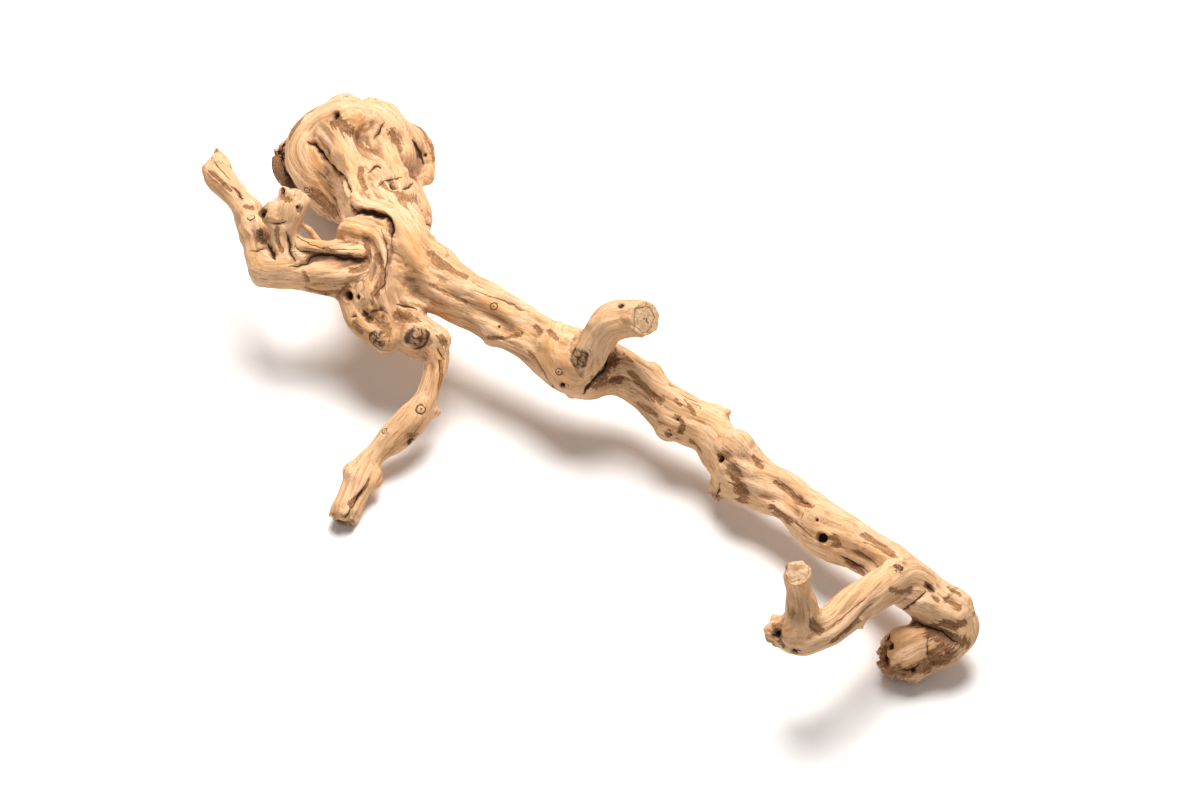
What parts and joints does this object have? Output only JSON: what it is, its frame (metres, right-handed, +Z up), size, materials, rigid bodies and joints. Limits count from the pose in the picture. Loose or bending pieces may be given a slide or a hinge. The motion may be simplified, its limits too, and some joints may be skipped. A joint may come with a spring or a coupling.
{
  "type": "dry root",
  "caption": "Dry sand-blasted vine root that lies on its crown burl, leg tip and folded end, with a long knotty trunk, a forked arm, a hooked limb and cut stubs.",
  "frame": {"origin": "middle of the bottom of the root's box, on the surface that the root lies on", "axes": "+X along the trunk from the crown burl to the folded end, +Y away from the side that the leg is on, +Z up from the surface"},
  "size_m": [0.4719, 0.1931, 0.0903],
  "materials": {
    "wood": "bare sand-blasted wood, matt, pale tan with brown recesses"
  },
  "bodies": {
    "root": {"dry_root": "wood"}
  },
  "joints": []
}
